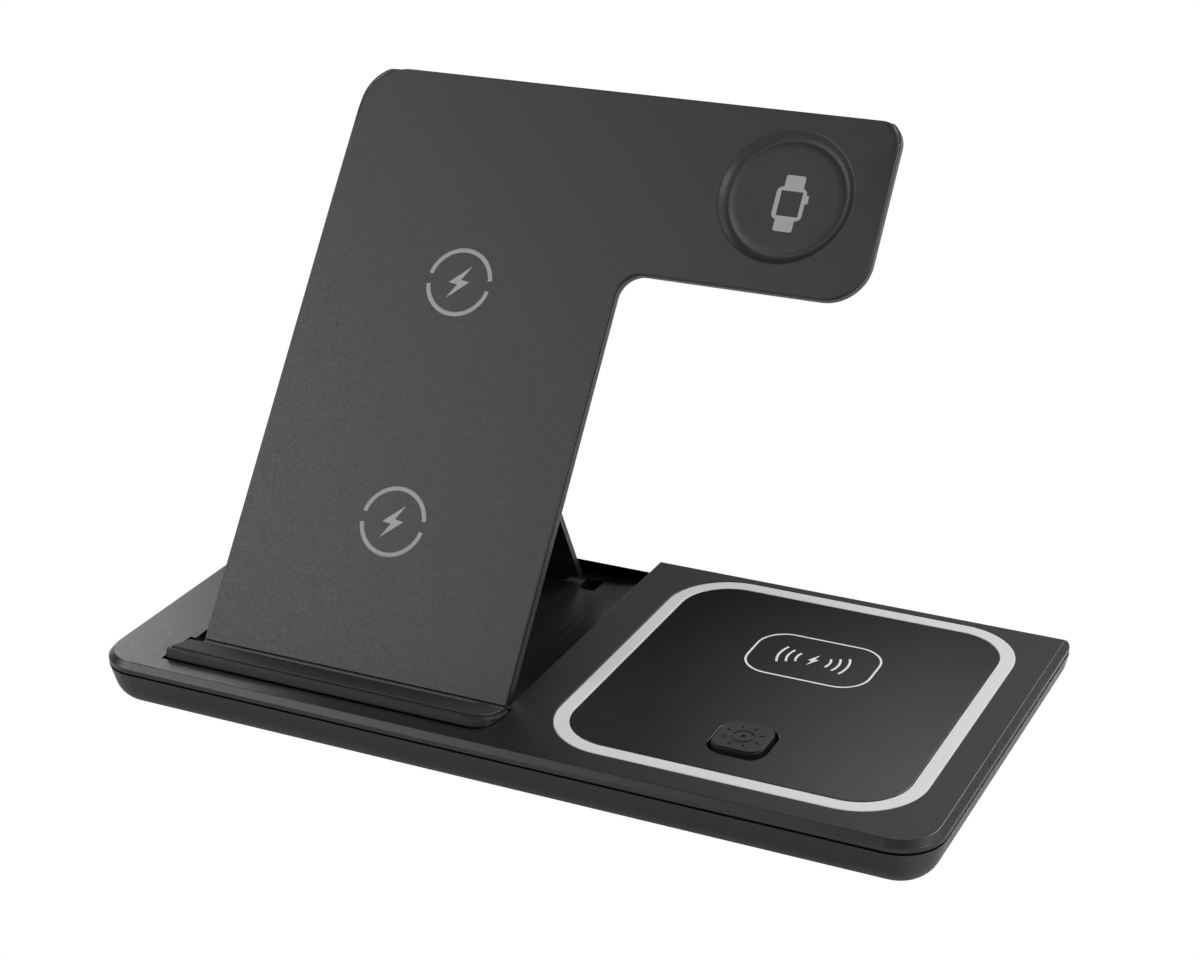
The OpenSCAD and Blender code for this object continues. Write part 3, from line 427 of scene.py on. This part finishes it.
def shapeDish(builder):
    # Turns the finer hollow in place of the plain one
    cut = cutDish(builder)
    rim = [edge for edge in builder.edges if len(edge.link_faces) == 1]
    loop = sorted({vert for edge in rim for vert in edge.verts},
                  key=lambda vert: dishSpot(vert.co)[2])
    turns = [dishSpot(vert.co)[2] for vert in loop]
    profile = list(dish["wall"])
    for ring in range(dish["rings"]):
        reach = dish["disc"] * (1 - ring / dish["rings"])
        profile.append((reach, discDepth(reach)))

    def newVert(reach, turn, depth):
        return builder.verts.new(panelPlace(stand["dishX"] + reach * math.cos(turn),
                                            stand["dishS"] + reach * math.sin(turn),
                                            stand["halfPanel"] - depth).translation)

    rows = [loop]
    for reach, depth in profile:
        rows.append([newVert(reach, turn, depth) for turn in turns])
    count = len(loop)
    faces = []
    for outer, inner in zip(rows, rows[1:]):
        for k in range(count):
            n = (k + 1) % count
            faces.append(builder.faces.new((outer[k], outer[n], inner[n], inner[k])))
    tip = newVert(0, 0, dish["middle"])
    for k in range(count):
        faces.append(builder.faces.new((rows[-1][k], rows[-1][(k + 1) % count], tip)))
    for face in faces:
        face.normal_update()
        if not leansOut(face, 0):
            face.normal_flip()
    print("dish turned,", cut, "faces out,", len(faces), "in,", count, "round the rim")
    return set(faces)


softened = {
    # piece: (CAD node, look, slot, body, width of the rounding in millimetres)
    "topShell": ("base_top_cover", "topPlastic", "cover_top", "base", 0.12),
    "lowerTub": ("base_bottom_cover", "tubPlastic", "cover_bottom", "base", 0.08),
    "panelFace": ("panel_front_cover", "panelPlastic", "panel_front", "panel", 0.22),
    "panelTub": ("panel_back_cover", "backPlastic", "panel_back", "panel", 0.1),
    "phoneLedge": ("ledge_tray", "ledgePlastic", "ledge", "ledge", 0.1),
    "ledgeStrip": ("ledge_pad", "softRubber", "rubber", "ledge", 0.3),
    "propLeg": ("support_leg", "legPlastic", "leg", "leg", 0.12),
    "sunButton": ("light_button", "buttonPlastic", "button", "button", 0.05),
    "lightRing": ("light_ring", "ringDiffuser", "ring", "base", 0.25),
    "glossPad": ("pad_face", "padGloss", "pad", "base", 0.15),
}
shrunk = {"sunButton": 0.915}  # the picture shows a gap round the button

rounding = {
    "merge": 0.001,
    "flat": 0.4,               # faces that meet at fewer degrees than this are made one
    "bend": 18,                # edges of at least this many degrees are rounded
    "room": 2.2,               # where the faces beside them are wider than this many roundings
    "segments": 2,
    "crease": 30,              # edges of at least this many degrees divide the shading
    "broad": 150,              # a flat of more square millimetres keeps its own shading
}

# The rounding of the panel's top edge runs on round its two upper corners
topCorners = {
    "from": 110,               # how far up the panel they start
    "arc": 2.0,                # longest edge that counts as part of a round corner
    "bend": 60,
    "facing": 0.99,
    "round": 1.5,
    "segments": 4,
}


def isBroad(face):
    return face.calc_area() > rounding["broad"] * mm * mm


def roundTopCorners(builder):
    picked = []
    for edge in builder.edges:
        if not bendOver(edge, topCorners["bend"]) or edge.calc_length() > topCorners["arc"] * mm:
            continue
        besideFace = any(leansOut(face, topCorners["facing"]) and isBroad(face)
                         for face in edge.link_faces)
        lowest = min((toPanel @ vert.co).y for vert in edge.verts)
        if besideFace and lowest > topCorners["from"] * mm:
            picked.append(edge)
    bmesh.ops.bevel(builder, geom=picked, offset=topCorners["round"] * mm, offset_type="OFFSET",
                    segments=topCorners["segments"], profile=0.5, affect="EDGES",
                    clamp_overlap=False)
    print("top corners rounded,", len(picked), "edges")


def mergedNode(node):
    builder = bmesh.new()
    builder.from_mesh(nodes[node].data)
    bmesh.ops.remove_doubles(builder, verts=builder.verts, dist=rounding["merge"] * mm)
    bmesh.ops.dissolve_limit(builder, angle_limit=math.radians(rounding["flat"]),
                             verts=builder.verts, edges=builder.edges)
    return builder


def shrink(builder, node, share):
    middle = sum((Vector(corner) for corner in nodes[node].bound_box), Vector()) / 8
    for vert in builder.verts:
        vert.co.xy = middle.xy + (vert.co.xy - middle.xy) * share


def weighEdges(builder, width, smooth):
    # Marks the edges that get a rounding: those with room for it, outside the smooth faces
    weight = builder.edges.layers.float.new("bevel_weight_edge")
    rounded = 0
    for edge in builder.edges:
        if not bendOver(edge, rounding["bend"]) or smooth.issuperset(edge.link_faces):
            continue
        reach = rounding["room"] * width * mm * edge.calc_length()
        if min(face.calc_area() for face in edge.link_faces) > reach:
            edge[weight] = 1.0
            rounded += 1
    return rounded


def shadeFaces(builder):
    for face in builder.faces:
        face.smooth = True
    broad = {face for face in builder.faces if isBroad(face)}
    for edge in builder.edges:
        gentle = abs(edge.calc_face_angle_signed(0)) < math.radians(rounding["crease"])
        edge.smooth = gentle and not broad.intersection(edge.link_faces)


def softCopy(name, node, look, body, width):
    # A copy of the CAD node, merged, with its outer edges rounded
    builder = mergedNode(node)
    smooth = set()
    if name == "panelFace":
        smooth = shapeDish(builder)
        roundTopCorners(builder)
    if name in shrunk:
        shrink(builder, node, shrunk[name])
    rounded = weighEdges(builder, width, smooth)
    shadeFaces(builder)
    piece = makePiece(builder, name, look)
    soft = piece.modifiers.new("rounding", "BEVEL")
    soft.limit_method = "WEIGHT"
    soft.width = width * mm
    soft.segments = rounding["segments"]
    soft.use_clamp_overlap = False
    soft.harden_normals = True
    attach(piece, body)
    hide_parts(node)
    print("rounded", name, rounded, "edges")


for name, (node, look, slot, body, width) in softened.items():
    softCopy(name, node, look, body, width)


prints = {
    "thick": 0.02,             # how far a print stands above its face, in millimetres
    "frameSteps": 10,          # pieces in a quarter of a round corner
    "caseSteps": 6,
    "screenSteps": 2,
    "arcPoints": 33,           # points along a whole arc
}


def quarter(x, y, radius, start, steps):
    # A quarter of a circle, from start degrees on
    turns = [math.radians(start + 90 * i / steps) for i in range(steps + 1)]
    return [(x + radius * math.cos(turn), y + radius * math.sin(turn)) for turn in turns]


def roundedLoop(halfW, halfH, radius):
    loop = []
    for cx, cy, start in ((1, 1, 0), (-1, 1, 90), (-1, -1, 180), (1, -1, 270)):
        loop += quarter(cx * (halfW - radius), cy * (halfH - radius), radius, start,
                        prints["frameSteps"])
    return loop


def band(halfW, halfH, radius, width):
    # Points and faces of a frame with round corners
    outer = roundedLoop(halfW, halfH, radius)
    inner = roundedLoop(halfW - width, halfH - width, radius - width)
    n = len(outer)
    return outer + inner, [(i, (i + 1) % n, n + (i + 1) % n, n + i) for i in range(n)]


def bolt(mark):
    # Half of the outline, and the same half turned round
    half = [mark["tip"], mark["notch"], mark["corner"]]
    points = half + [(-x, -y) for x, y in half]
    return points, [tuple(range(len(points)))]


def faceUp(builder):
    for face in builder.faces:
        face.normal_update()
        if face.normal.z < 0:
            face.normal_flip()


def raiseFaces(builder):
    # Extrudes all faces and gives back the new points
    grown = bmesh.ops.extrude_face_region(builder, geom=builder.faces[:])
    return {item for item in grown["geom"] if isinstance(item, bmesh.types.BMVert)}


def printMark(name, shape, place, look, body):
    # A shape is flat points and faces in millimetres
    builder = bmesh.new()
    points, faces = shape
    made = [builder.verts.new((x * mm, y * mm, 0)) for x, y in points]
    for face in faces:
        builder.faces.new([made[i] for i in face])
    bmesh.ops.recalc_face_normals(builder, faces=builder.faces)
    faceUp(builder)
    for vert in raiseFaces(builder):
        vert.co.z += prints["thick"] * mm
    bmesh.ops.recalc_face_normals(builder, faces=builder.faces)
    piece = makePiece(builder, name, look, place)
    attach(piece, body)


def nodeTree(name, sockets):
    tree = bpy.data.node_groups.new(name, "GeometryNodeTree")
    for label, kind in sockets.items():
        tree.interface.new_socket(label, in_out="INPUT", socket_type="NodeSocket" + kind)
    tree.interface.new_socket("Geometry", in_out="OUTPUT", socket_type="NodeSocketGeometry")
    return tree, addNode(tree, "NodeGroupInput"), addNode(tree, "NodeGroupOutput")


def instances(tree, points, instance):
    node = addNode(tree, "GeometryNodeInstanceOnPoints")
    tree.links.new(points.outputs[0], node.inputs["Points"])
    tree.links.new(instance.outputs[0], node.inputs["Instance"])
    return node


def lineOf(tree, count=1):
    # Points in one place, unless a link sets their offset
    node = addNode(tree, "GeometryNodeMeshLine", mode="OFFSET")
    node.inputs["Count"].default_value = count
    node.inputs["Offset"].default_value = (0, 0, 0)
    return node


def realize(tree, grown):
    node = addNode(tree, "GeometryNodeRealizeInstances")
    tree.links.new(grown.outputs[0], node.inputs[0])
    return node


def closeTree(tree, given, result, grown):
    dressed = addNode(tree, "GeometryNodeSetMaterial")
    tree.links.new(realize(tree, grown).outputs[0], dressed.inputs["Geometry"])
    tree.links.new(given.outputs["Finish"], dressed.inputs["Material"])
    tree.links.new(dressed.outputs[0], result.inputs[0])
    return tree


def grow(name, tree, values):
    # Runs a node tree once and keeps its result as a plain mesh
    piece = bpy.data.objects.new(name, bpy.data.meshes.new(name + "Seed"))
    scene.collection.objects.link(piece)
    maker = piece.modifiers.new("maker", "NODES")
    maker.node_group = tree
    for item in tree.interface.items_tree:
        if item.item_type == "SOCKET" and item.in_out == "INPUT":
            maker[item.identifier] = values[item.name]
    bpy.context.view_layer.update()
    evaluated = piece.evaluated_get(bpy.context.evaluated_depsgraph_get())
    made = bpy.data.meshes.new_from_object(evaluated)
    piece.modifiers.remove(maker)
    piece.data = made
    return piece


def makeArcTree():
    # Growing arcs on the right, and the same arcs turned half round on the left
    tree, given, result = nodeTree("arcFamily", {
        "Count": "Int", "First": "Float", "Step": "Float", "Half Angle": "Float",
        "Width": "Float", "Thick": "Float", "Back": "Float", "Turn": "Float",
        "Finish": "Material"})
    link = tree.links.new

    def compute(operation, first, second):
        node = addNode(tree, "ShaderNodeMath", operation=operation)
        for socket, value in zip(node.inputs, (first, second)):
            if isinstance(value, (int, float)):
                socket.default_value = value
            else:
                link(value, socket)
        return node.outputs[0]

    points = lineOf(tree)
    link(given.outputs["Count"], points.inputs["Count"])
    arc = addNode(tree, "GeometryNodeCurveArc", mode="RADIUS")
    arc.inputs["Resolution"].default_value = prints["arcPoints"]
    arc.inputs["Radius"].default_value = 1.0
    link(compute("MULTIPLY", given.outputs["Half Angle"], -1.0), arc.inputs["Start Angle"])
    link(compute("MULTIPLY", given.outputs["Half Angle"], 2.0), arc.inputs["Sweep Angle"])
    index = addNode(tree, "GeometryNodeInputIndex").outputs[0]
    family = instances(tree, points, arc)
    growth = compute("MULTIPLY", given.outputs["Step"], index)
    link(compute("ADD", given.outputs["First"], growth), family.inputs["Scale"])
    profile = addNode(tree, "GeometryNodeCurvePrimitiveQuadrilateral")
    link(given.outputs["Width"], profile.inputs["Width"])
    link(given.outputs["Thick"], profile.inputs["Height"])
    upright = addNode(tree, "GeometryNodeSetCurveNormal", mode="Z_UP")
    link(realize(tree, family).outputs[0], upright.inputs["Curve"])
    solid = addNode(tree, "GeometryNodeCurveToMesh")
    link(upright.outputs[0], solid.inputs["Curve"])
    link(profile.outputs[0], solid.inputs["Profile Curve"])
    solid.inputs["Fill Caps"].default_value = True
    shifted = addNode(tree, "GeometryNodeTransform")
    shift = addNode(tree, "ShaderNodeCombineXYZ")
    link(compute("MULTIPLY", given.outputs["Back"], -1.0), shift.inputs[0])
    link(solid.outputs[0], shifted.inputs["Geometry"])
    link(shift.outputs[0], shifted.inputs["Translation"])
    both = instances(tree, lineOf(tree, 2), shifted)
    turn = addNode(tree, "ShaderNodeCombineXYZ")
    halfRound = compute("MULTIPLY", index, math.pi)
    link(compute("ADD", given.outputs["Turn"], halfRound), turn.inputs[2])
    link(turn.outputs[0], both.inputs["Rotation"])
    return closeTree(tree, given, result, both)


arcTree = makeArcTree()


def printArcs(name, arcs, place, look, body):
    piece = grow(name, arcTree, {
        "Count": arcs["count"], "First": arcs["first"] * mm, "Step": arcs["step"] * mm,
        "Half Angle": math.radians(arcs["half"]), "Width": arcs["width"] * mm,
        "Thick": 2 * prints["thick"] * mm, "Back": arcs["back"] * mm,
        "Turn": math.radians(arcs["turn"]), "Finish": looks[look]})
    piece.data.transform(place)
    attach(piece, body)


phoneMark = {
    "high": 84.3, "low": 32.3, "right": 0.2,
    "ring": {"count": 1, "first": 6.985, "step": 0, "half": 90 - 9.3, "width": 0.95, "back": 0,
             "turn": 90},
    "bolt": {"tip": (2.1, 3.72), "notch": (0.32, 0.53), "corner": (2.35, 0.29)},
}
for name, at in (("phoneMarkUpper", phoneMark["high"]), ("phoneMarkLower", phoneMark["low"])):
    place = panelPlace(stand["panelX"] + phoneMark["right"], at, stand["halfPanel"])
    printArcs(name + "Ring", phoneMark["ring"], place, "greyPrint", "panel")
    printMark(name, bolt(phoneMark["bolt"]), place, "greyPrint", "panel")

padMark = {
    "x": 0.3, "y": 12.2,
    "frame": {"halfW": 13.36, "halfH": 9.06, "radius": 6.3, "width": 0.45},
    "waves": {"count": 3, "first": 4.45, "step": 1.9, "half": 24.5, "width": 0.5, "back": 0.9,
              "turn": 0},
    "bolt": {"tip": (0.6, 2.5), "notch": (0.2, 0.35), "corner": (1.05, 0.43)},
}
place = basePlace(stand["padX"] + padMark["x"], stand["padY"] + padMark["y"], stand["topZ"])
printArcs("padWaves", padMark["waves"], place, "palePrint", "base")
printMark("padFrame", band(**padMark["frame"]), place, "palePrint", "base")
printMark("padBolt", bolt(padMark["bolt"]), place, "palePrint", "base")

watchMark = {
    "case": (-2.52, 3.9, -4.5, 2.45),              # left, right, lower and upper side
    "screen": (-1.54, 3.06, -3.7, 1.66),
    "caseRound": 1.2,
    "screenRound": 0.12,
    "strapTop": (-1.2, 2.95, 5.0),                 # left, right and end
    "strapFoot": (-1.47, 2.6, -6.96),
    "strapRound": 0.45,
    "crown": (4.45, -0.7, 1.07),                   # reach, lower and upper side
    "cut": ((5, (1, 0, 0)), (7, (0, 1, 0))),       # half the width and half the height to cut
    "cell": 0.8,
    "near": 0.01,                                  # points nearer to a strap's side are left out
}


def watchOutline():
    x0, x1, y0, y1 = watchMark["case"]
    c, q, near = watchMark["caseRound"], watchMark["strapRound"], watchMark["near"]
    ta, tb, top = watchMark["strapTop"]
    fa, fb, foot = watchMark["strapFoot"]
    out, low, high = watchMark["crown"]

    def turned(x, y, radius, start):
        return quarter(x, y, radius, start, prints["caseSteps"])

    def onCase(x, cx, cy, sign):
        # Where a strap's side meets the case's rounded corner
        return x, cy + sign * math.sqrt(max(0, c * c - (x - cx) ** 2))

    loop = turned(tb - q, top - q, q, 0) + turned(ta + q, top - q, q, 90)
    loop += [(ta, y1)] + turned(x0 + c, y1 - c, c, 90)[1:]
    loop += [p for p in turned(x0 + c, y0 + c, c, 180) if p[0] < fa - near]
    loop += [onCase(fa, x0 + c, y0 + c, -1)]
    loop += turned(fa + q, foot + q, q, 180) + turned(fb - q, foot + q, q, 270)
    loop += [(fb, y0)] + turned(x1 - c, y0 + c, c, 270)
    loop += [(x1, low), (out, low), (out, high), (x1, high)]
    loop += [p for p in turned(x1 - c, y1 - c, c, 0) if p[0] > tb + near]
    loop += [onCase(tb, x1 - c, y1 - c, 1)]
    return loop


def screenOutline():
    x0, x1, y0, y1 = watchMark["screen"]
    r = watchMark["screenRound"]
    middles = ((x1 - r, y1 - r), (x0 + r, y1 - r), (x0 + r, y0 + r), (x1 - r, y0 + r))
    loop = []
    for turn, (x, y) in enumerate(middles):
        loop += quarter(x, y, r, 90 * turn, prints["screenSteps"])
    return loop


def printWatch():
    # The mark follows the disc's bowl, so it is cut into small cells and laid on it
    builder = bmesh.new()
    edges = []
    for loop in (watchOutline(), screenOutline()):
        verts = [builder.verts.new((x * mm, y * mm, 0)) for x, y in loop]
        edges += [builder.edges.new((verts[k - 1], verts[k])) for k in range(len(verts))]
    bmesh.ops.triangle_fill(builder, use_beauty=True, use_dissolve=False, edges=edges)
    for reach, axis in watchMark["cut"]:
        steps = int(2 * reach / watchMark["cell"])
        for k in range(1, steps):
            at = (-reach + 2 * reach * k / steps) * mm
            everything = builder.verts[:] + builder.edges[:] + builder.faces[:]
            bmesh.ops.bisect_plane(builder, geom=everything, plane_co=Vector(axis) * at,
                                   plane_no=axis)
    faceUp(builder)
    lifted = raiseFaces(builder)
    for vert in builder.verts:
        depth = discDepth(math.hypot(vert.co.x, vert.co.y) / mm)
        vert.co.z = (-depth + (prints["thick"] if vert in lifted else -prints["thick"])) * mm
    bmesh.ops.recalc_face_normals(builder, faces=builder.faces)
    place = panelPlace(stand["dishX"], stand["dishS"], stand["halfPanel"])
    piece = makePiece(builder, "watchMark", "greyPrint", place)
    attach(piece, "panel")


printWatch()
print("marks printed")


def makeContactTree():
    # Rows of small plates on both faces of the inlet's tongue
    tree, given, result = nodeTree("contactRows", {
        "Count": "Int", "Pitch": "Float", "Rise": "Float", "Plate": "Vector",
        "Finish": "Material"})
    link = tree.links.new
    row = lineOf(tree)
    link(given.outputs["Count"], row.inputs["Count"])
    plate = addNode(tree, "GeometryNodeMeshCube")
    link(given.outputs["Plate"], plate.inputs["Size"])
    sides = lineOf(tree, 2)
    for source, axis, line in (("Pitch", 0, row), ("Rise", 2, sides)):
        offset = addNode(tree, "ShaderNodeCombineXYZ")
        link(given.outputs[source], offset.inputs[axis])
        link(offset.outputs[0], line.inputs["Offset"])
    both = instances(tree, sides, instances(tree, row, plate))
    return closeTree(tree, given, result, both)


inlet = {"count": 12, "pitch": 0.5, "plate": (0.25, 4.2, 0.06), "tongue": 0.7, "depth": 4.3,
         "z": 5.6}
contacts = grow("inletContacts", makeContactTree(), {
    "Count": inlet["count"], "Pitch": inlet["pitch"] * mm, "Rise": inlet["tongue"] * mm,
    "Plate": [v * mm for v in inlet["plate"]], "Finish": looks["goldPlate"]})
contacts.data.transform(basePlace(stand["padX"] - inlet["pitch"] * (inlet["count"] - 1) / 2,
                                  stand["rearY"] - inlet["depth"],
                                  inlet["z"] - inlet["tongue"] / 2))
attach(contacts, "base")
print("inlet contacts set")
